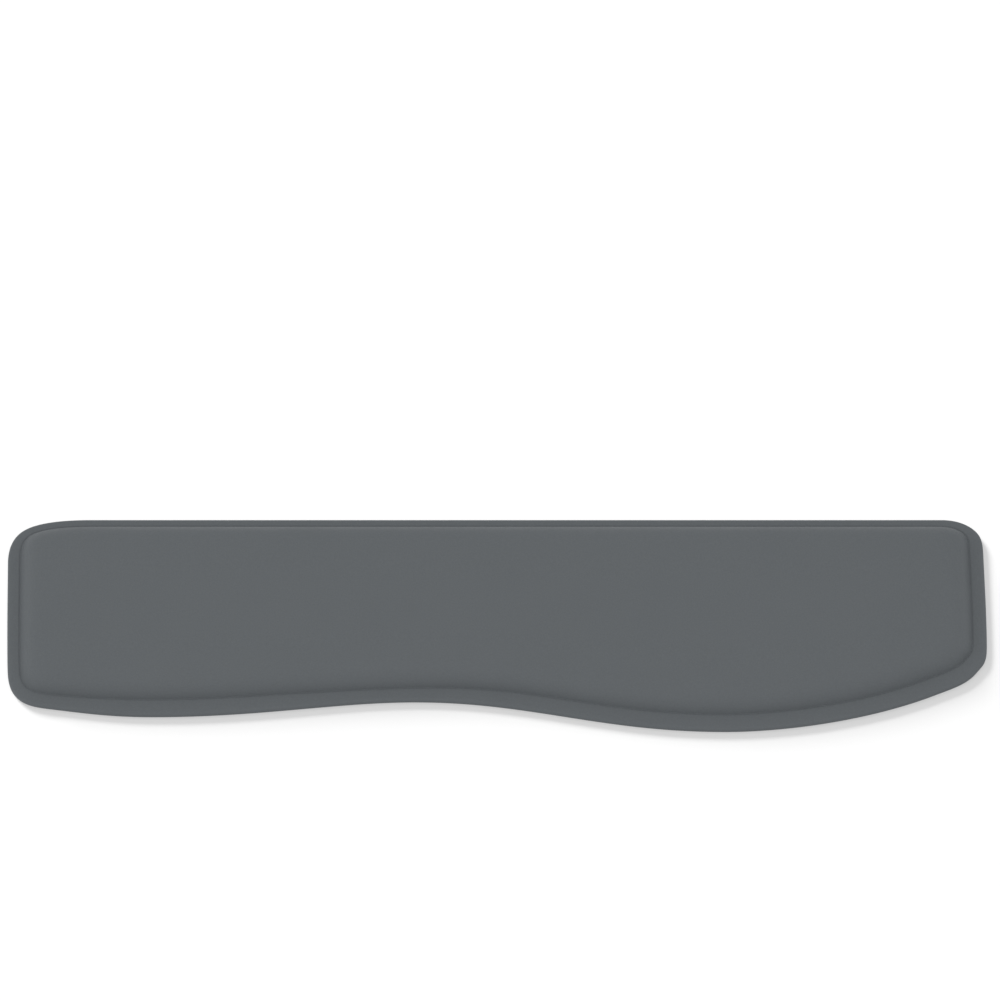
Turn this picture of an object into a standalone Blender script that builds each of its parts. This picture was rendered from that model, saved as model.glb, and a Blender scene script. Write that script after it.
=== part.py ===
"""A keyboard wrist rest: a gel pouch over foam on a stiff plate, under one moulded soft skin.

Metres, +Z up. The origin lies on the standing plane, below the middle of the outline. The straight
back edge, which meets the keyboard, faces +Y, and the waved front edge faces -Y. Every layer follows
the same outline, so a layer is a profile of (inset from the outline, height) carried round it.
"""

import math

import bmesh
import bpy
import numpy as np
from mathutils import Vector
from mathutils.geometry import interpolate_bezier

MM = 0.001
CLEARANCE = 0.3 * MM  # between pieces that touch
SIDE_GAP = 0.4 * MM  # round a piece that is let into another
SHARP_ANGLE = math.radians(40)  # shading breaks at corners sharper than this

# Outline in plan
HALF_WIDTH = 228.3 * MM
HALF_DEPTH = 57.1 * MM
FINE = 4  # outline points worked out for each one that a piece uses
INSET_STEP = 0.5 * MM
DEEPEST_INSET = 20.5 * MM
SMOOTHINGS = 3  # for each step past the crease

# Each knot: x, y, heading in degrees, handle behind, handle ahead, pieces to the next knot.
# The outline runs anticlockwise seen from above, and starts down the left side. Lengths in mm.
WIDE = HALF_WIDTH / MM
DEEP = HALF_DEPTH / MM
KNOTS = (
    (-228.1, -20.0, 271, 20, 8, 4),  # left side
    (-222.6, -39.7, 318, 7, 6, 4),  # front left corner
    (-203.0, -45.5, 352, 10, 14, 4),
    (-160.0, -49.1, 0, 18, 50, 12),  # left lobe
    (-38.0, -41.1, 0, 37, 54, 12),  # bay
    (106.0, -DEEP, 0, 58, 30, 12),  # right lobe
    (204.0, -37.3, 24, 32, 9, 4),
    (223.6, -25.0, 54, 8, 5, 4),  # front right corner
    (WIDE, -11.0, 90, 9, 16, 4),  # right side
    (227.0, 39.8, 92, 18, 6, 4),
    (222.9, 51.6, 136, 4, 5, 4),  # back right corner
    (208.0, DEEP, 180, 6, 100, 8),  # back edge
    (-190.0, DEEP, 180, 100, 14, 5),
    (-222.8, 49.9, 224, 8, 6, 5),  # back left corner
    (-WIDE, 33.8, 270, 6, 16, 4),
)

# Skin: one moulded sheet that forms the pad and the rim, and is turned under the plate as a hem
SKIN_THICK = 0.5 * MM
RIM_BOTTOM = 0.4 * MM
RIM_TOP = 3.1 * MM
LOWER_RADIUS = 0.7 * MM  # of the edge's two rounded corners
UPPER_RADIUS = 1.2 * MM
CORNER_PIECES = 2
HEM_WIDTH = 9.0 * MM

# Pad: it sits off the rim's middle, nearer to the back and the left
PAD_SHIFT = np.array((-0.5, 2.1)) * MM
REACHES = (  # where the pad comes further forward than the outline does: x, spread, how far
    (-52.0 * MM, 45.0 * MM, 1.8 * MM),  # in the bay
    (-212.0 * MM, 25.0 * MM, 1.6 * MM),  # at the front left corner
)
REACH_BLEND = 20.0 * MM
LIP_INSET = 5.7 * MM  # where the flat rim starts to dip to the crease
CREASE_INSET = 6.3 * MM
CREASE_TOP = 3.0 * MM
SHOULDER_RISE = 7.0 * MM
SHOULDER_RUN = 14.0 * MM
SHOULDER_POWER = 4  # more makes the foot of the shoulder steeper and its top flatter
SHOULDER_PIECES = 7
SHOULDER_CROWDING = 1.4  # more than 1 puts the pieces closer together at the foot
CROWN_RISE = 2.0 * MM  # the gentle dome across the whole pad, on top of the shoulder's rise
SPINE_HALF = 180.0 * MM  # half the length of the line that the dome rises to
SPINE_Y = 4.0 * MM
SPINE_INSET = 50.0 * MM  # counts as the inset of that line
CROWN_INSETS = (26.0 * MM, 34.0 * MM, 42.0 * MM)

# Plate
PLATE_BOTTOM = RIM_BOTTOM
PLATE_TOP = CREASE_TOP - SKIN_THICK - CLEARANCE
PLATE_INSET = 1.0 * MM
PLATE_CHAMFER = 0.2 * MM
TAPE_THICK = 0.15 * MM
MARGIN_BOTTOM = RIM_BOTTOM + SKIN_THICK + TAPE_THICK + 2 * CLEARANCE
MARGIN_WIDTH = HEM_WIDTH + SIDE_GAP

# Feet
FOOT_RADIUS = 6.0 * MM
FOOT_TOP = 1.1 * MM
FOOT_ROUNDING = 0.4 * MM
RECESS_RADIUS = FOOT_RADIUS + SIDE_GAP
FOOT_INSET = 18.5 * MM
BACK_FEET_X = (-203.0 * MM, -68.0 * MM, 68.0 * MM, 200.0 * MM)
FRONT_FEET_X = (-203.0 * MM, -78.0 * MM, 78.0 * MM, 196.0 * MM)
ROUND_SIDES = 24

# Tapes, foam and gel pouch, from the plate upwards
HEM_TAPE_BOTTOM = RIM_BOTTOM + SKIN_THICK + CLEARANCE
HEM_TAPE_OUTER = 1.8 * MM
HEM_TAPE_INNER = 8.6 * MM
FOAM_INSET = 8.7 * MM
FOAM_TAPE_BOTTOM = PLATE_TOP + CLEARANCE
FOAM_BOTTOM = FOAM_TAPE_BOTTOM + TAPE_THICK + CLEARANCE
FOAM_TOP = 5.7 * MM
FILM_THICK = 0.2 * MM
FILM_INSET = 9.2 * MM
LOWER_FILM_BOTTOM = FOAM_TOP + CLEARANCE
GEL_BOTTOM = LOWER_FILM_BOTTOM + FILM_THICK + CLEARANCE
FILM_DEPTH = SKIN_THICK + CLEARANCE  # below the skin's outer face
GEL_DEPTH = FILM_DEPTH + FILM_THICK + CLEARANCE

# Finishes: material name, linear colour, roughness
GREY_SKIN = ("skin", (0.122, 0.133, 0.141), 0.62)
CLEAR_FILM = ("film", (0.55, 0.60, 0.63), 0.3)
BLUE_GEL = ("gel", (0.20, 0.36, 0.46), 0.25)
CREAM_FOAM = ("foam", (0.62, 0.58, 0.47), 0.9)
WHITE_TAPE = ("tape", (0.70, 0.69, 0.64), 0.6)
BLACK_PLATE = ("plate", (0.018, 0.019, 0.020), 0.5)
BLACK_RUBBER = ("foot_rubber", (0.012, 0.012, 0.013), 0.8)


def material(name, colour, roughness):
    made = bpy.data.materials.new(name)
    made.use_nodes = True
    shader = made.node_tree.nodes["Principled BSDF"]
    shader.inputs["Base Color"].default_value = (*colour, 1.0)
    shader.inputs["Roughness"].default_value = roughness
    shader.inputs["Metallic"].default_value = 0.0
    return made


def bezier_outline():
    """The outline through the knots, as an array of points."""
    points = []
    for index, (x, y, heading, _, ahead, pieces) in enumerate(KNOTS):
        next_x, next_y, next_heading, behind, _, _ = KNOTS[(index + 1) % len(KNOTS)]
        turn, next_turn = math.radians(heading), math.radians(next_heading)
        start = Vector((x, y))
        end = Vector((next_x, next_y))
        leaving = start + ahead * Vector((math.cos(turn), math.sin(turn)))
        arriving = end - behind * Vector((math.cos(next_turn), math.sin(next_turn)))
        run = interpolate_bezier(start, leaving, arriving, end, pieces * FINE + 1)
        points.extend(point * MM for point in run[:-1])
    return np.array([point[:] for point in points])


def travelled(loop):
    """How far along the closed loop each point lies, as a share of the whole, ending with 1."""
    steps = np.linalg.norm(np.roll(loop, -1, axis=0) - loop, axis=1)
    distance = np.concatenate(([0.0], np.cumsum(steps)))
    return distance / distance[-1]


def inset_loops(outline):
    """The outline and its copies moved inwards step by step, with their points kept apart.

    Past the crease each copy is also smoothed, so the pad's corners grow rounder towards its top.
    """
    shares = travelled(outline)[:-1]
    loops = [outline]
    for step in range(round(DEEPEST_INSET / INSET_STEP)):
        loop = loops[-1]
        along = np.roll(loop, -1, axis=0) - np.roll(loop, 1, axis=0)
        inward = np.column_stack((-along[:, 1], along[:, 0]))
        inward /= np.linalg.norm(inward, axis=1)[:, None]
        moved = loop + inward * INSET_STEP
        closed = np.vstack((moved, moved[:1]))
        place = travelled(moved)
        loop = np.column_stack([np.interp(shares, place, closed[:, k]) for k in (0, 1)])
        if step * INSET_STEP > CREASE_INSET:
            for _ in range(SMOOTHINGS):
                loop = (np.roll(loop, 1, axis=0) + 2 * loop + np.roll(loop, -1, axis=0)) / 4
        loops.append(loop)
    return loops


LOOPS = inset_loops(bezier_outline())


def ring(inset):
    """The outline moved inwards by this much."""
    step, share = divmod(inset / INSET_STEP, 1.0)
    low, high = LOOPS[int(step)], LOOPS[min(int(step) + 1, len(LOOPS) - 1)]
    return (low + (high - low) * share)[::FINE]


def pad_ring(inset):
    """The same for the pad. Past the deepest inset it closes in on the dome's spine instead."""
    loop = ring(min(inset, DEEPEST_INSET)) + PAD_SHIFT
    forward = np.clip(-loop[:, 1] / REACH_BLEND, 0.0, 1.0)
    bumps = [reach * np.exp(-(((loop[:, 0] - x) / spread) ** 2)) for x, spread, reach in REACHES]
    loop[:, 1] -= forward * np.sum(bumps, axis=0)
    share = max(inset - DEEPEST_INSET, 0.0) / (SPINE_INSET - DEEPEST_INSET)
    spine = np.column_stack((np.clip(loop[:, 0], -SPINE_HALF, SPINE_HALF), np.full(len(loop), SPINE_Y)))
    return loop + (spine - loop) * share


def ring_point(inset, x, side):
    """The point with this x on the front (side -1) or the back (side +1) of the outline's inset."""
    loop = [point for point in ring(inset) if point[1] * side > 0]
    loop.sort(key=lambda point: point[0])
    return x, float(np.interp(x, [p[0] for p in loop], [p[1] for p in loop]))


def dome(inset):
    """How much the dome adds to the pad's height here: none at the crease, all of it at the spine."""
    to_spine = (SPINE_INSET - inset) / (SPINE_INSET - CREASE_INSET)
    return CROWN_RISE * (1 - to_spine**2)


def pad_profile():
    """The pad's outer face, from the crease up the shoulder and over the dome."""
    profile = []
    for index in range(SHOULDER_PIECES + 1):
        share = (index / SHOULDER_PIECES) ** SHOULDER_CROWDING
        rise = SHOULDER_RISE * (1 - (1 - share) ** SHOULDER_POWER)
        profile.append((CREASE_INSET + SHOULDER_RUN * share, rise))
    profile.extend((inset, SHOULDER_RISE) for inset in CROWN_INSETS)
    return [(inset, CREASE_TOP + rise + dome(inset)) for inset, rise in profile]


def moved_in(profile, depth):
    """The profile moved towards the inside of the pad, at right angles to itself."""
    moved = []
    for index, (inset, height) in enumerate(profile):
        before = profile[max(index - 1, 0)]
        after = profile[min(index + 1, len(profile) - 1)]
        along = Vector((after[0] - before[0], after[1] - before[1])).normalized()
        if index == 0:
            along = Vector((0.0, 1.0))
        if index == len(profile) - 1:
            along = Vector((1.0, 0.0))
        moved.append((inset + along.y * depth, height - along.x * depth))
    return moved


def above(profile, height):
    """The part of a rising profile above this height, cut off there."""
    heights = [point[1] for point in profile]
    first = next(index for index, level in enumerate(heights) if level > height)
    low, high = profile[first - 1], profile[first]
    share = (height - low[1]) / (high[1] - low[1])
    return [(low[0] + (high[0] - low[0]) * share, height), *profile[first:]]


def pad_layer(depth):
    """The levels of the face this deep under the pad's outer face, from the gel's bottom upwards."""
    profile = above(moved_in(pad_profile(), depth), GEL_BOTTOM)
    return [(pad_ring(inset), height) for inset, height in profile]


def loft(name, levels, floor):
    """A surface through loops at their heights. The last is capped, and with a floor the first too."""
    mesh = bmesh.new()
    rings = [[mesh.verts.new((x, y, height)) for x, y in loop] for loop, height in levels]
    for lower, upper in zip(rings, rings[1:]):
        for index in range(len(lower)):
            after = (index + 1) % len(lower)
            mesh.faces.new((lower[index], lower[after], upper[after], upper[index]))
    mesh.faces.new(rings[-1])
    if floor:
        mesh.faces.new(reversed(rings[0]))
    return mesh_object(name, mesh)


def mesh_object(name, mesh):
    """A smooth-shaded object in the part's collection from a finished bmesh."""
    data = bpy.data.meshes.new(name)
    mesh.to_mesh(data)
    mesh.free()
    data.shade_smooth()
    data.set_sharp_from_angle(angle=SHARP_ANGLE)
    made = bpy.data.objects.new(name, data)
    parts.objects.link(made)
    return made


def thicken(made, thickness):
    """Gives an open surface its thickness, on the side away from its outer face."""
    solid = made.modifiers.new("Thickness", "SOLIDIFY")
    solid.thickness = thickness
    solid.offset = -1.0
    solid.use_even_offset = True


def flat_piece(name, loops, bottom, top):
    """A flat layer inside a loop, with a hole where a second loop is given."""
    curve = bpy.data.curves.new(name, "CURVE")
    curve.dimensions = "2D"
    curve.fill_mode = "BOTH"
    curve.extrude = (top - bottom) / 2
    curve.render_resolution_u = 0
    for loop in loops:
        spline = curve.splines.new("POLY")
        spline.points.add(len(loop) - 1)
        for point, (x, y) in zip(spline.points, loop):
            point.co = (x, y, 0.0, 1.0)
        spline.use_cyclic_u = True
    made = bpy.data.objects.new(name, curve)
    made.location.z = (bottom + top) / 2
    parts.objects.link(made)
    return made


def disc(name, radius, bottom, top, place, collection):
    """An upright round disc."""
    bpy.ops.mesh.primitive_cylinder_add(
        vertices=ROUND_SIDES, radius=radius, depth=top - bottom, location=(*place, (bottom + top) / 2)
    )
    made = bpy.context.object
    made.name = name
    for holder in list(made.users_collection):
        holder.objects.unlink(made)
    collection.objects.link(made)
    return made


def corner_levels(radius, height, start):
    """A quarter round of the rim's edge about this height, from the start angle upwards."""
    levels = []
    for index in range(CORNER_PIECES + 1):
        angle = start + math.pi / 2 * index / CORNER_PIECES
        levels.append((ring(radius * (1 - math.sin(angle))), height - radius * math.cos(angle)))
    return levels


def make_skin(finish):
    """The hem under the plate, round the edge, over the rim, down to the crease and over the pad."""
    levels = [(ring(HEM_WIDTH), RIM_BOTTOM)]
    levels += corner_levels(LOWER_RADIUS, RIM_BOTTOM + LOWER_RADIUS, 0.0)
    levels += corner_levels(UPPER_RADIUS, RIM_TOP - UPPER_RADIUS, math.pi / 2)
    levels += [(pad_ring(inset), height) for inset, height in [(LIP_INSET, RIM_TOP), *pad_profile()]]
    skin = loft("cover_skin", levels, floor=False)
    thicken(skin, SKIN_THICK)
    skin.data.materials.append(finish)


def make_gel_pouch(film_finish, gel_finish):
    """The gel between its two films. The upper film follows the skin."""
    film = loft("gel_film_upper", pad_layer(FILM_DEPTH), floor=False)
    thicken(film, FILM_THICK)
    film.data.materials.append(film_finish)
    gel = loft("gel_core", pad_layer(GEL_DEPTH), floor=True)
    gel.data.materials.append(gel_finish)
    lower = flat_piece(
        "gel_film_lower", (pad_ring(FILM_INSET),), LOWER_FILM_BOTTOM, LOWER_FILM_BOTTOM + FILM_THICK
    )
    lower.data.materials.append(film_finish)


def make_foam(finish):
    foam = flat_piece("foam_cushion", (pad_ring(FOAM_INSET),), FOAM_BOTTOM, FOAM_TOP)
    foam.data.materials.append(finish)


def make_tapes(finish):
    under_foam = flat_piece(
        "foam_adhesive", (pad_ring(FOAM_INSET),), FOAM_TAPE_BOTTOM, FOAM_TAPE_BOTTOM + TAPE_THICK
    )
    under_foam.data.materials.append(finish)
    round_hem = flat_piece(
        "hem_adhesive",
        (ring(HEM_TAPE_OUTER), ring(HEM_TAPE_INNER)),
        HEM_TAPE_BOTTOM,
        HEM_TAPE_BOTTOM + TAPE_THICK,
    )
    round_hem.data.materials.append(finish)


def make_plate(finish, feet):
    """The plate is thinner round its margin, for the hem, and has a shallow recess for each foot."""
    profile = [
        (MARGIN_WIDTH, PLATE_BOTTOM),
        (MARGIN_WIDTH, MARGIN_BOTTOM),
        (PLATE_INSET + PLATE_CHAMFER, MARGIN_BOTTOM),
        (PLATE_INSET, MARGIN_BOTTOM + PLATE_CHAMFER),
        (PLATE_INSET, PLATE_TOP - PLATE_CHAMFER),
        (PLATE_INSET + PLATE_CHAMFER, PLATE_TOP),
    ]
    plate = loft("base_plate", [(ring(inset), height) for inset, height in profile], floor=True)
    plate.data.materials.append(finish)
    for index, place in enumerate(feet):
        recess = disc(
            f"foot_recess_{index + 1}",
            RECESS_RADIUS,
            PLATE_BOTTOM - FOOT_TOP,
            FOOT_TOP + CLEARANCE,
            place,
            cutters,
        )
        recess.hide_render = True
        recess.display_type = "WIRE"
        cut = plate.modifiers.new(recess.name, "BOOLEAN")
        cut.operation = "DIFFERENCE"
        cut.solver = "EXACT"
        cut.object = recess


def make_feet(finish, feet):
    for index, place in enumerate(feet):
        foot = disc(f"foot_{index + 1}", FOOT_RADIUS, 0.0, FOOT_TOP, place, parts)
        rounding = foot.modifiers.new("Rounding", "BEVEL")
        rounding.width = FOOT_ROUNDING
        rounding.segments = 1
        rounding.limit_method = "ANGLE"
        rounding.angle_limit = SHARP_ANGLE
        foot.data.shade_smooth()
        foot.data.set_sharp_from_angle(angle=SHARP_ANGLE)
        foot.data.materials.append(finish)


for old in list(bpy.data.objects):
    bpy.data.objects.remove(old)
parts = bpy.data.collections.new("wrist_rest")
cutters = bpy.data.collections.new("cutters")
bpy.context.scene.collection.children.link(parts)
bpy.context.scene.collection.children.link(cutters)

feet_places = [ring_point(FOOT_INSET, x, 1) for x in BACK_FEET_X]
feet_places += [ring_point(FOOT_INSET, x, -1) for x in FRONT_FEET_X]

make_skin(material(*GREY_SKIN))
make_gel_pouch(material(*CLEAR_FILM), material(*BLUE_GEL))
make_foam(material(*CREAM_FOAM))
make_tapes(material(*WHITE_TAPE))
make_plate(material(*BLACK_PLATE), feet_places)
make_feet(material(*BLACK_RUBBER), feet_places)
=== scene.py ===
"""The looks of the keyboard wrist rest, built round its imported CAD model.

Metres, in the CAD model's frame: the straight back edge faces +Y, the waved front edge faces -Y, and
the origin lies on the desk below the middle. The soft pieces (skin, gel, its upper film and the foam)
are made again here as fine surfaces from the same outline, and the other CAD nodes get materials.
"""

import math

import bmesh
import bpy
import numpy as np
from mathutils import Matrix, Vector
from mathutils.geometry import interpolate_bezier


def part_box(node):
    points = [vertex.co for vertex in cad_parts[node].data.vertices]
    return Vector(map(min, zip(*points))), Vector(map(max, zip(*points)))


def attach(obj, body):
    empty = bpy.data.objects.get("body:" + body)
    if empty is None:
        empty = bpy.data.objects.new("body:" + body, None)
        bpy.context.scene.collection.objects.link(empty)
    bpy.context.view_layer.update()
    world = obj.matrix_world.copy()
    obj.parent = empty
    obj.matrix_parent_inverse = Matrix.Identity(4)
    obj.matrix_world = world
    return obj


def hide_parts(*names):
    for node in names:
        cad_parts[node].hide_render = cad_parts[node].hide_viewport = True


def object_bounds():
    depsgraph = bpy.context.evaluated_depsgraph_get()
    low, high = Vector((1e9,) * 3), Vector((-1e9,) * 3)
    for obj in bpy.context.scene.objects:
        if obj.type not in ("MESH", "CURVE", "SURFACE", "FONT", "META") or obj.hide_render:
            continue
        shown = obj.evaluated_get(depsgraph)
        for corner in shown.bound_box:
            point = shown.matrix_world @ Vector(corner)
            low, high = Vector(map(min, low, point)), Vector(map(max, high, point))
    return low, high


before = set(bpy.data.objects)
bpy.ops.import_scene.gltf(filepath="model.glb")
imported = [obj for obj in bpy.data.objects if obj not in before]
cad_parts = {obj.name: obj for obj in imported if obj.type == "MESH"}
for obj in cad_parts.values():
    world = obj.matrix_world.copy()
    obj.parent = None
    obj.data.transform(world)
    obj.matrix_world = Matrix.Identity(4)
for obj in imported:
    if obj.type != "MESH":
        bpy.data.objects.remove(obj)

MM = 0.001
CAD_LOW, CAD_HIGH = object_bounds()

# Sizes read from the frame
SKIN_LOW, SKIN_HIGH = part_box("cover_skin")
FOAM_LOW, FOAM_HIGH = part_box("foam_cushion")
GEL_LOW, GEL_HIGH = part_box("gel_core")
FILM_LOW, FILM_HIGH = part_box("gel_film_upper")
HALF_WIDTH = (SKIN_HIGH.x - SKIN_LOW.x) / 2
HALF_DEPTH = (SKIN_HIGH.y - SKIN_LOW.y) / 2
RIM_BOTTOM = SKIN_LOW.z

# The outline, as the CAD model has it. Each knot: x, y, heading in degrees, handle behind, handle
# ahead, pieces to the next knot. It runs anticlockwise seen from above. Lengths in mm.
WIDE = HALF_WIDTH / MM
DEEP = HALF_DEPTH / MM
KNOTS = (
    (-228.1, -20.0, 271, 20, 8, 4),  # left side
    (-222.6, -39.7, 318, 7, 6, 4),  # front left corner
    (-203.0, -45.5, 352, 10, 14, 4),
    (-160.0, -49.1, 0, 18, 50, 12),  # left lobe
    (-38.0, -41.1, 0, 37, 54, 12),  # bay
    (106.0, -DEEP, 0, 58, 30, 12),  # right lobe
    (204.0, -37.3, 24, 32, 9, 4),
    (223.6, -25.0, 54, 8, 5, 4),  # front right corner
    (WIDE, -11.0, 90, 9, 16, 5),  # right side
    (227.0, 39.8, 92, 18, 6, 4),
    (222.9, 51.6, 136, 4, 5, 4),  # back right corner
    (208.0, DEEP, 180, 6, 100, 24),  # back edge
    (-190.0, DEEP, 180, 100, 14, 5),
    (-222.8, 49.9, 224, 8, 6, 5),  # back left corner
    (-WIDE, 33.8, 270, 6, 16, 5),
)
FINE = 6  # outline points for each piece between knots
INSET_STEP = 0.25 * MM
DEEPEST_INSET = 20.5 * MM
SMOOTHINGS = 3  # for each step past the crease
SHARP_FOLD = math.radians(50.0)  # a fold tighter than this is a crisp edge

# The skin's rim and hem
SKIN_THICK = 0.45 * MM
RIM_TOP = 3.1 * MM
LOWER_RADIUS = 0.7 * MM
UPPER_RADIUS = 1.2 * MM
CORNER_PIECES = 6
RIM_SHARES = (0.35, 0.7)  # where rows of points cross the flat of the rim
HEM_WIDTH = 9.0 * MM
PLEAT_DEPTH = 0.14 * MM
PLEAT_LENGTH = 4.2 * MM
PLEAT_TURN = 0.035  # outline turn in radians for each mm at which the pleats are deepest
PLEAT_POWER = 1.5  # more than 1 keeps the pleats closer to the corners
PLEAT_FADE = (  # share of the hem's width, share of the pleats' depth there
    (1.0, 0.4),
    (0.97, 0.6),
    (0.85, 1.0),
    (0.7, 0.68),
    (0.5, 0.35),
    (0.3, 0.12),
    (0.15, 0.03),
)

# The pad's section, as the CAD model has it
PAD_SHIFT = np.array((-0.5, 2.1)) * MM
REACHES = (  # where the pad comes further forward than the outline does: x, spread, how far
    (-52.0 * MM, 45.0 * MM, 1.8 * MM),  # in the bay
    (-212.0 * MM, 25.0 * MM, 1.6 * MM),  # at the front left corner
)
REACH_BLEND = 20.0 * MM
CREASE_INSET = 6.3 * MM
CREASE_TOP = 3.0 * MM
SHOULDER_RISE = 7.0 * MM
SHOULDER_RUN = 14.0 * MM
SHOULDER_POWER = 4  # more makes the foot of the shoulder steeper and its top flatter
SHOULDER_PIECES = 22
SHOULDER_CROWDING = 1.4  # more than 1 puts the pieces closer together at the foot
CROWN_RISE = 2.0 * MM  # the gentle dome across the whole pad, on top of the shoulder's rise
SPINE_HALF = 180.0 * MM  # half the length of the line that the dome rises to
SPINE_Y = 4.0 * MM
SPINE_INSET = 50.0 * MM  # counts as the inset of that line
CROWN_INSETS = [inset * MM for inset in (21.5, 24, 27, 30, 33, 36, 39, 42, 45, 48)]

# From the flat of the rim over its lip and down into the groove of the crease: inset, height
LIP_SECTION = (
    (4.4 * MM, RIM_TOP),
    (5.1 * MM, RIM_TOP + 0.03 * MM),
    (5.5 * MM, RIM_TOP + 0.05 * MM),
    (5.8 * MM, RIM_TOP + 0.01 * MM),
    (5.98 * MM, RIM_TOP - 0.08 * MM),
    (6.12 * MM, CREASE_TOP - 0.03 * MM),
    (6.22 * MM, CREASE_TOP - 0.05 * MM),
)

# Gel pouch and foam
FILM_THICK = 0.2 * MM
FILM_DEPTH = SKIN_HIGH.z - FILM_HIGH.z
GEL_DEPTH = SKIN_HIGH.z - GEL_HIGH.z
FOAM_INSET = 8.7 * MM
FOAM_PIECES = 10
FOAM_BULGE = 0.25 * MM  # how far the middle of its sides stands out
FOAM_ROUNDING = 0.5 * MM  # of its upper and lower edges

# Camera: a nearly parallel view down on the user's side of the desk
VIEW_ELEVATION = math.radians(59.0)
VIEW_DISTANCE = 14.0
FRAME_WIDTH = 0.4663  # what the picture's width covers at the object's middle
AIM = Vector((0.0014, 0.0694, 0.0))
SENSOR = 36.0  # in mm, as the lens is
CLIP_END = 50.0

# Lights, mostly an even sky
SKY_STRENGTH = 0.78
SOFTBOX_SIZE = 1.3
SOFTBOXES = (  # name, place, power in watts
    ("top", (0.0, 0.0, 2.4), 6.5),
    ("left", (-2.0, 0.0, 1.3), 6.4),
    ("right", (2.0, 0.0, 1.3), 1.2),
)

# Floor, and the soft sun that reaches nothing else
FLOOR_SIZE = 40.0
FLOOR_TONE = (0.25, 0.25, 0.25)
FLOOR_GLOW = 0.45
FLOOR_SUN_FROM = (-2.6, 3.2, 1.75)
FLOOR_SUN_SPREAD = 0.38  # radians across
FLOOR_SUN_STRENGTH = 11.0

# Colours of the finishes: each goes between two tones
WHITE = (1.0, 1.0, 1.0)
SKIN_TONES = ((0.10735, 0.1178, 0.1254), (0.11865, 0.1302, 0.1386))
FILM_TONES = ((0.62, 0.67, 0.70), (0.70, 0.74, 0.76))
GEL_TONES = ((0.17, 0.32, 0.42), (0.23, 0.40, 0.50))
FOAM_TONES = ((0.66, 0.62, 0.51), (0.46, 0.42, 0.33))
TAPE_TONES = ((0.58, 0.57, 0.50), (0.74, 0.73, 0.68))
PLATE_TONES = ((0.0165, 0.0175, 0.0185), (0.021, 0.022, 0.023))
RUBBER_TONES = ((0.011, 0.011, 0.012), (0.022, 0.021, 0.021))
TAPE_FIBRES = (1.0, 0.25, 1.0)  # stretches the patterns along the tape


def bezier_outline():
    """The outline through the knots, as an array of points."""
    points = []
    for index, (x, y, heading, _, ahead, pieces) in enumerate(KNOTS):
        next_x, next_y, next_heading, behind, _, _ = KNOTS[(index + 1) % len(KNOTS)]
        turn, next_turn = math.radians(heading), math.radians(next_heading)
        start = Vector((x, y))
        end = Vector((next_x, next_y))
        leaving = start + ahead * Vector((math.cos(turn), math.sin(turn)))
        arriving = end - behind * Vector((math.cos(next_turn), math.sin(next_turn)))
        run = interpolate_bezier(start, leaving, arriving, end, pieces * FINE + 1)
        points.extend(point * MM for point in run[:-1])
    return np.array([point[:] for point in points])


def travelled(loop):
    """How far along the closed loop each point lies, ending with the loop's length."""
    steps = np.linalg.norm(np.roll(loop, -1, axis=0) - loop, axis=1)
    return np.concatenate(([0.0], np.cumsum(steps)))


def inset_loops(outline):
    """The outline and its copies moved inwards step by step, with their points kept apart.

    Past the crease each copy is also smoothed, so the pad's corners grow rounder towards its top.
    """
    lengths = travelled(outline)
    shares = (lengths / lengths[-1])[:-1]
    loops = [outline]
    for step in range(round(DEEPEST_INSET / INSET_STEP)):
        loop = loops[-1]
        along = np.roll(loop, -1, axis=0) - np.roll(loop, 1, axis=0)
        inward = np.column_stack((-along[:, 1], along[:, 0]))
        inward /= np.linalg.norm(inward, axis=1)[:, None]
        moved = loop + inward * INSET_STEP
        closed = np.vstack((moved, moved[:1]))
        place = travelled(moved)
        place /= place[-1]
        loop = np.column_stack([np.interp(shares, place, closed[:, k]) for k in (0, 1)])
        if step * INSET_STEP > CREASE_INSET:
            for _ in range(SMOOTHINGS):
                loop = (np.roll(loop, 1, axis=0) + 2 * loop + np.roll(loop, -1, axis=0)) / 4
        loops.append(loop)
    return loops


LOOPS = inset_loops(bezier_outline())


def ring(inset):
    """The outline moved inwards by this much."""
    step, share = divmod(inset / INSET_STEP, 1.0)
    low, high = LOOPS[int(step)], LOOPS[min(int(step) + 1, len(LOOPS) - 1)]
    return low + (high - low) * share


def pad_ring(inset):
    """The same for the pad. Past the deepest inset it closes in on the dome's spine instead."""
    loop = ring(min(inset, DEEPEST_INSET)) + PAD_SHIFT
    forward = np.clip(-loop[:, 1] / REACH_BLEND, 0.0, 1.0)
    bumps = [reach * np.exp(-(((loop[:, 0] - x) / spread) ** 2)) for x, spread, reach in REACHES]
    loop[:, 1] -= forward * np.sum(bumps, axis=0)
    share = max(inset - DEEPEST_INSET, 0.0) / (SPINE_INSET - DEEPEST_INSET)
    spine = np.column_stack((np.clip(loop[:, 0], -SPINE_HALF, SPINE_HALF), np.full(len(loop), SPINE_Y)))
    return loop + (spine - loop) * share


def dome_share(inset):
    """How much of the dome's rise is reached here: none at the crease, all of it at the spine."""
    to_spine = (SPINE_INSET - inset) / (SPINE_INSET - CREASE_INSET)
    return 1 - to_spine**2


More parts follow.
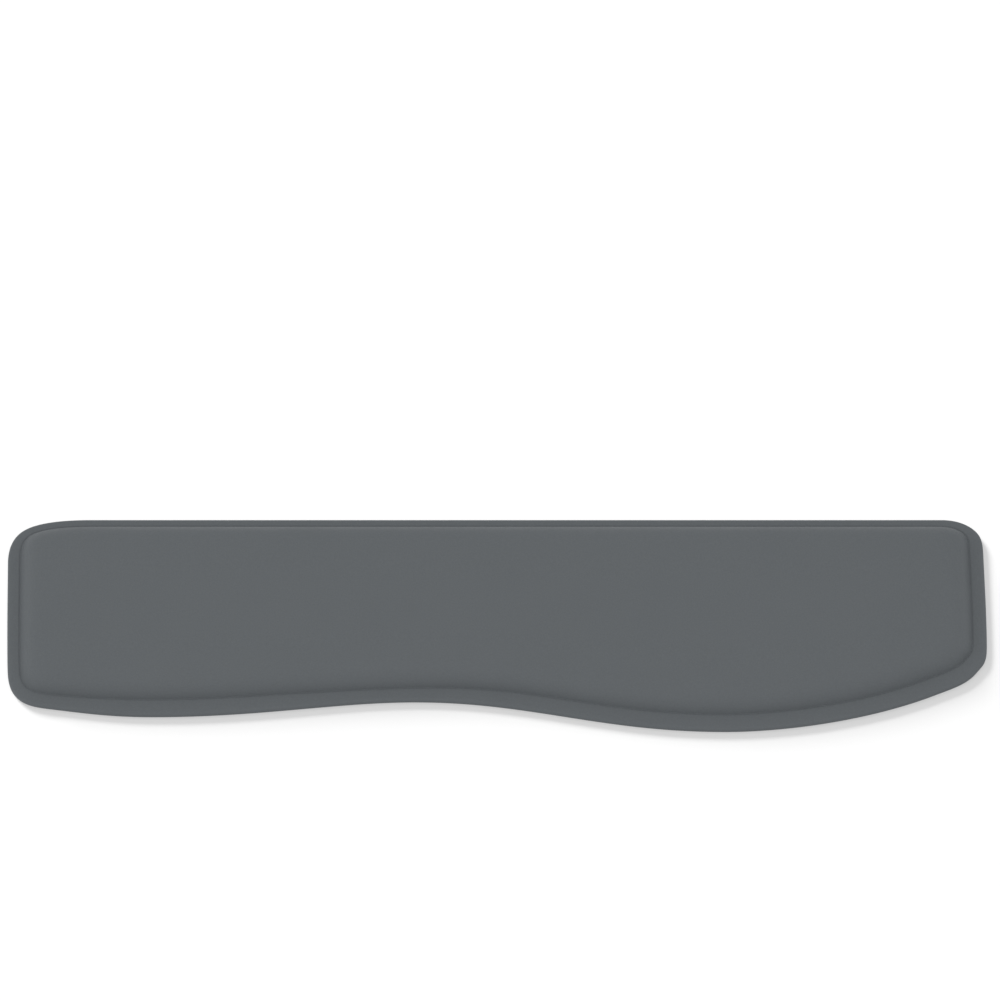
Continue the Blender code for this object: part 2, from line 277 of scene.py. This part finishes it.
def pad_profile():
    """The pad's outer face, from the crease up the shoulder and over the dome."""
    profile = []
    for index in range(SHOULDER_PIECES + 1):
        share = (index / SHOULDER_PIECES) ** SHOULDER_CROWDING
        rise = SHOULDER_RISE * (1 - (1 - share) ** SHOULDER_POWER)
        profile.append((CREASE_INSET + SHOULDER_RUN * share, rise))
    profile.extend((inset, SHOULDER_RISE) for inset in CROWN_INSETS)
    return [(inset, CREASE_TOP + rise + CROWN_RISE * dome_share(inset)) for inset, rise in profile]


def moved_in(profile, depth):
    """The profile moved towards the inside of the pad, at right angles to itself."""
    moved = []
    for index, (inset, height) in enumerate(profile):
        before = profile[max(index - 1, 0)]
        after = profile[min(index + 1, len(profile) - 1)]
        along = Vector((after[0] - before[0], after[1] - before[1])).normalized()
        if index == 0:
            along = Vector((0.0, 1.0))
        if index == len(profile) - 1:
            along = Vector((1.0, 0.0))
        moved.append((inset + along.y * depth, height - along.x * depth))
    return moved


def above(profile, height):
    """The part of a rising profile above this height, cut off there."""
    heights = [point[1] for point in profile]
    first = next(index for index, level in enumerate(heights) if level > height)
    low, high = profile[first - 1], profile[first]
    share = (height - low[1]) / (high[1] - low[1])
    return [(low[0] + (high[0] - low[0]) * share, height), *profile[first:]]


def pleats():
    """How far down the hem's pleats reach at each outline point: they gather it round the corners."""
    outline = LOOPS[0]
    along = np.roll(outline, -1, axis=0) - outline
    heading = np.arctan2(along[:, 1], along[:, 0])
    turn = (heading - np.roll(heading, 1) + math.pi) % (2 * math.pi) - math.pi
    bend = turn / np.linalg.norm(along, axis=1) * MM
    for _ in range(FINE * 2):
        bend = (np.roll(bend, 1) + bend + np.roll(bend, -1)) / 3
    depth = np.clip(bend / PLEAT_TURN, 0.0, 1.0) ** PLEAT_POWER
    distance = travelled(outline)[:-1]
    return PLEAT_DEPTH * depth * (0.5 - 0.5 * np.cos(2 * math.pi * distance / PLEAT_LENGTH))


def loft(name, levels, closed):
    """A surface through loops at their heights. The last is capped, and if closed the first too."""
    mesh = bmesh.new()
    rings = []
    for loop, height in levels:
        heights = np.broadcast_to(height, len(loop))
        rings.append([mesh.verts.new((x, y, z)) for (x, y), z in zip(loop, heights)])
    for lower, upper in zip(rings, rings[1:]):
        for index in range(len(lower)):
            after = (index + 1) % len(lower)
            mesh.faces.new((lower[index], lower[after], upper[after], upper[index]))
    mesh.faces.new(rings[-1])
    if closed:
        mesh.faces.new(reversed(rings[0]))
    data = bpy.data.meshes.new(name)
    mesh.to_mesh(data)
    mesh.free()
    data.shade_smooth()
    data.set_sharp_from_angle(angle=SHARP_FOLD)
    made = bpy.data.objects.new(name, data)
    bpy.context.scene.collection.objects.link(made)
    return made


def thicken(made, thickness):
    """Gives an open surface its thickness, on the side away from its outer face."""
    solid = made.modifiers.new("Thickness", "SOLIDIFY")
    solid.thickness = thickness
    solid.offset = -1.0
    solid.use_even_offset = True


def node(tree, kind, **inputs):
    """A shader node with these inputs set. An underscore in a name stands for a space."""
    made = tree.nodes.new(kind)
    for name, value in inputs.items():
        made.inputs[name.replace("_", " ")].default_value = value
    return made


class Finish:
    """A Principled material whose colour, roughness and relief come from patterns in object space."""

    SPAN = (0.3, 0.7)  # the part of a pattern's range that goes from one tone to the other

    def __init__(self, name, roughness, specular=0.5):
        self.material = bpy.data.materials.new(name)
        self.material.use_nodes = True
        self.tree = self.material.node_tree
        self.shader = self.tree.nodes["Principled BSDF"]
        self.shader.inputs["Roughness"].default_value = roughness
        self.shader.inputs["Specular IOR Level"].default_value = specular
        self.place = self.tree.nodes.new("ShaderNodeTexCoord").outputs["Object"]
        self.relief = None

    def link(self, start, end):
        self.tree.links.new(start, end)

    def noise(self, size, detail=2.0, stretch=(1.0, 1.0, 1.0)):
        """Soft noise whose blotches are about this large."""
        placed = node(self.tree, "ShaderNodeMapping", Scale=stretch)
        made = node(self.tree, "ShaderNodeTexNoise", Scale=1 / size, Detail=detail)
        self.link(self.place, placed.inputs["Vector"])
        self.link(placed.outputs["Vector"], made.inputs["Vector"])
        return made.outputs["Fac"]

    def cells(self, size, feature="F1"):
        """Rounded cells of about this size."""
        made = node(self.tree, "ShaderNodeTexVoronoi", Scale=1 / size)
        made.feature = feature
        self.link(self.place, made.inputs["Vector"])
        return made.outputs["Distance"]

    def tint(self, pattern, low, high):
        """Base colour between two tones, as the pattern says."""
        ramp = self.tree.nodes.new("ShaderNodeValToRGB")
        for stop, position, tone in zip(ramp.color_ramp.elements, self.SPAN, (low, high)):
            stop.position = position
            stop.color = (*tone, 1.0)
        self.link(pattern, ramp.inputs["Fac"])
        self.link(ramp.outputs["Color"], self.shader.inputs["Base Color"])

    def gloss(self, pattern, low, high):
        """Roughness between two values, as the pattern says."""
        start, end = self.SPAN
        spread = node(
            self.tree, "ShaderNodeMapRange", From_Min=start, From_Max=end, To_Min=low, To_Max=high
        )
        self.link(pattern, spread.inputs["Value"])
        self.link(spread.outputs["Result"], self.shader.inputs["Roughness"])

    def bump(self, pattern, depth, strength=1.0):
        """Adds relief of this depth in metres to what is there already."""
        made = node(self.tree, "ShaderNodeBump", Strength=strength, Distance=depth)
        self.link(pattern, made.inputs["Height"])
        if self.relief:
            self.link(self.relief, made.inputs["Normal"])
        self.relief = made.outputs["Normal"]
        self.link(self.relief, self.shader.inputs["Normal"])


def skin_finish():
    """Soft-touch skin: matte blue-grey, with a fine pebble grain and a fine fleck."""
    finish = Finish("soft_skin", 0.66, specular=0.25)
    finish.tint(finish.noise(0.7 * MM, detail=5.0), *SKIN_TONES)
    finish.gloss(finish.noise(22 * MM, detail=4.0), 0.62, 0.70)
    finish.bump(finish.noise(9 * MM), 0.05 * MM, 0.4)
    finish.bump(finish.cells(0.5 * MM), 0.1 * MM, 0.6)
    finish.bump(finish.noise(0.2 * MM), 0.03 * MM, 0.5)
    return finish.material


def film_finish():
    """Clear pouch film with faint wrinkles."""
    finish = Finish("pouch_film", 0.22)
    finish.shader.inputs["Transmission Weight"].default_value = 0.75
    finish.shader.inputs["IOR"].default_value = 1.45
    finish.tint(finish.noise(12 * MM), *FILM_TONES)
    finish.gloss(finish.noise(5 * MM, detail=4.0), 0.16, 0.30)
    finish.bump(finish.noise(6 * MM, detail=3.0, stretch=(1.0, 2.5, 1.0)), 0.2 * MM, 0.5)
    return finish.material


def gel_finish():
    """Tacky blue gel, a little cloudy, with small bubbles."""
    finish = Finish("soft_gel", 0.18)
    finish.shader.inputs["Transmission Weight"].default_value = 0.6
    finish.shader.inputs["IOR"].default_value = 1.41
    finish.tint(finish.noise(25 * MM, detail=3.0), *GEL_TONES)
    finish.gloss(finish.noise(8 * MM), 0.14, 0.26)
    finish.bump(finish.cells(2.6 * MM, "SMOOTH_F1"), 0.15 * MM, 0.35)
    return finish.material


def foam_finish():
    """Cream open-cell foam."""
    finish = Finish("open_foam", 0.92, specular=0.15)
    finish.tint(finish.cells(1.1 * MM), *FOAM_TONES)
    finish.gloss(finish.noise(6 * MM), 0.88, 0.97)
    finish.bump(finish.cells(1.1 * MM), 0.5 * MM, 0.8)
    finish.bump(finish.cells(0.4 * MM), 0.15 * MM, 0.6)
    return finish.material


def tape_finish():
    """Tissue tape: adhesive on a thin fibrous carrier."""
    finish = Finish("tissue_tape", 0.5, specular=0.4)
    finish.tint(finish.noise(1.2 * MM, detail=4.0, stretch=TAPE_FIBRES), *TAPE_TONES)
    finish.gloss(finish.noise(3 * MM), 0.38, 0.6)
    finish.bump(finish.noise(0.8 * MM, detail=4.0, stretch=TAPE_FIBRES), 0.04 * MM, 0.6)
    return finish.material


def plate_finish():
    """Moulded black plastic with an eroded-mould texture and slight flow marks."""
    finish = Finish("moulded_plate", 0.5, specular=0.45)
    finish.tint(finish.noise(45 * MM, detail=3.0), *PLATE_TONES)
    finish.gloss(finish.noise(30 * MM, detail=5.0, stretch=(0.3, 1.0, 1.0)), 0.42, 0.56)
    finish.bump(finish.noise(0.35 * MM, detail=3.0), 0.03 * MM, 0.6)
    finish.bump(finish.noise(1.4 * MM, detail=2.0), 0.02 * MM, 0.4)
    return finish.material


def rubber_finish():
    """Black rubber, faintly dusty, with a fine cut face."""
    finish = Finish("foot_rubber", 0.8, specular=0.3)
    finish.tint(finish.noise(2.2 * MM, detail=4.0), *RUBBER_TONES)
    finish.gloss(finish.noise(1.5 * MM, detail=3.0), 0.72, 0.9)
    finish.bump(finish.noise(0.25 * MM, detail=2.0), 0.03 * MM, 0.7)
    return finish.material


def corner_levels(radius, height, start):
    """A quarter round of the rim's edge about this height, from the start angle upwards."""
    levels = []
    for index in range(CORNER_PIECES + 1):
        angle = start + math.pi / 2 * index / CORNER_PIECES
        levels.append((ring(radius * (1 - math.sin(angle))), height - radius * math.cos(angle)))
    return levels


def edge_levels():
    """The hem, gathered in pleats at the corners, and the rim's rounded outer edge."""
    gathers = pleats()
    levels = []
    for share, fade in PLEAT_FADE:
        levels.append((ring(HEM_WIDTH * share), RIM_BOTTOM - gathers * fade))
    levels += corner_levels(LOWER_RADIUS, RIM_BOTTOM + LOWER_RADIUS, 0.0)
    levels += corner_levels(UPPER_RADIUS, RIM_TOP - UPPER_RADIUS, math.pi / 2)
    return levels


def rim_levels():
    """The flat of the rim, the lip at its inner side and the groove of the crease."""
    edge = ring(UPPER_RADIUS)
    lip = pad_levels(LIP_SECTION)
    return [(edge + (lip[0][0] - edge) * share, RIM_TOP) for share in RIM_SHARES] + lip


def pad_levels(profile):
    """The pad's loops and their heights, from insets and heights."""
    return [(pad_ring(inset), height) for inset, height in profile]


def dress(piece, finish, node_name):
    """Gives a piece its finish, and lets it stand for its CAD node on the one rigid body."""
    piece.data.materials.append(finish)
    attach(piece, "root")
    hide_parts(node_name)


def make_skin():
    """One moulded sheet: hem, edge, rim, crease and pad."""
    skin = loft("skin_cover", edge_levels() + rim_levels() + pad_levels(pad_profile()), closed=False)
    thicken(skin, SKIN_THICK)
    dress(skin, skin_finish(), "cover_skin")


def make_gel_pouch(film):
    """The gel under the pad's skin, and the upper film of its pouch. The lower film is a CAD node."""
    outside = above(moved_in(pad_profile(), FILM_DEPTH), FILM_LOW.z)
    top = loft("pouch_film", pad_levels(outside), closed=False)
    thicken(top, FILM_THICK)
    dress(top, film, "gel_film_upper")
    inside = above(moved_in(pad_profile(), GEL_DEPTH), GEL_LOW.z)
    gel = loft("gel_pad", pad_levels(inside), closed=True)
    dress(gel, gel_finish(), "gel_core")


def make_foam():
    """A cut sheet of foam whose sides swell a little and whose cut edges have rounded over."""
    low, high = FOAM_LOW.z, FOAM_HIGH.z
    levels = [(pad_ring(FOAM_INSET + 2 * FOAM_ROUNDING), low)]
    for index in range(FOAM_PIECES + 1):
        share = index / FOAM_PIECES
        end = abs(2 * share - 1)
        inset = FOAM_INSET + FOAM_BULGE * end**2 + FOAM_ROUNDING * end**8
        levels.append((pad_ring(inset), low + (high - low) * share))
    levels.append((pad_ring(FOAM_INSET + 2 * FOAM_ROUNDING), high))
    foam = loft("foam_pad", levels, closed=True)
    dress(foam, foam_finish(), "foam_cushion")


def finish_node(name, finish):
    """A CAD node keeps its shape and gets this finish."""
    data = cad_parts[name].data
    data.materials.clear()
    data.materials.append(finish)


def make_floor():
    """A plain pale floor that glows a little, so that it is as white as the photograph's."""
    bpy.ops.mesh.primitive_plane_add(size=FLOOR_SIZE, location=(0.0, 0.0, CAD_LOW.z))
    floor = bpy.context.object
    floor.name = "floor"
    finish = Finish("pale_floor", 0.9, specular=0.1)
    finish.shader.inputs["Base Color"].default_value = (*FLOOR_TONE, 1.0)
    finish.shader.inputs["Emission Color"].default_value = (*WHITE, 1.0)
    finish.shader.inputs["Emission Strength"].default_value = FLOOR_GLOW
    floor.data.materials.append(finish.material)
    return floor


def make_camera():
    """A long lens far away, aimed behind the object, which lies low in the photograph's frame."""
    data = bpy.data.cameras.new("camera")
    data.sensor_width = SENSOR
    middle_distance = VIEW_DISTANCE - AIM.y * math.cos(VIEW_ELEVATION)
    data.lens = SENSOR * middle_distance / FRAME_WIDTH
    data.clip_end = CLIP_END
    camera = bpy.data.objects.new("camera", data)
    back = Vector((0.0, -math.cos(VIEW_ELEVATION), math.sin(VIEW_ELEVATION)))
    camera.location = AIM + VIEW_DISTANCE * back
    camera.rotation_euler = (math.pi / 2 - VIEW_ELEVATION, 0.0, 0.0)
    bpy.context.scene.collection.objects.link(camera)
    bpy.context.scene.camera = camera


def place_light(data, place):
    """Puts a light here, turned to the object."""
    light = bpy.data.objects.new(data.name, data)
    light.location = place
    light.rotation_euler = (-Vector(place)).to_track_quat("-Z", "Y").to_euler()
    light.visible_camera = False
    bpy.context.scene.collection.objects.link(light)
    return light


def make_softbox(name, place, power):
    data = bpy.data.lights.new(name, "AREA")
    data.size = SOFTBOX_SIZE
    data.energy = power
    place_light(data, place)


def make_floor_sun(floor):
    """A soft sun that reaches the floor only: it keeps the floor white but for the object's shadow."""
    data = bpy.data.lights.new("floor_sun", "SUN")
    data.angle = FLOOR_SUN_SPREAD
    data.energy = FLOOR_SUN_STRENGTH
    sun = place_light(data, FLOOR_SUN_FROM)
    reached = bpy.data.collections.new("lit_by_floor_sun")
    reached.objects.link(floor)
    sun.light_linking.receiver_collection = reached


def make_sky():
    """Even white light from all round."""
    world = bpy.data.worlds.new("studio")
    world.use_nodes = True
    background = world.node_tree.nodes["Background"]
    background.inputs["Color"].default_value = (*WHITE, 1.0)
    background.inputs["Strength"].default_value = SKY_STRENGTH
    bpy.context.scene.world = world


make_camera()
floor = make_floor()
make_sky()
for softbox in SOFTBOXES:
    make_softbox(*softbox)
make_floor_sun(floor)

film = film_finish()
tape = tape_finish()
rubber = rubber_finish()
make_skin()
make_gel_pouch(film)
make_foam()
finish_node("gel_film_lower", film)
finish_node("foam_adhesive", tape)
finish_node("hem_adhesive", tape)
finish_node("base_plate", plate_finish())
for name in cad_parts:
    if name.startswith("foot_"):
        finish_node(name, rubber)

bpy.context.scene.view_settings.view_transform = "Standard"
bpy.context.view_layer.update()
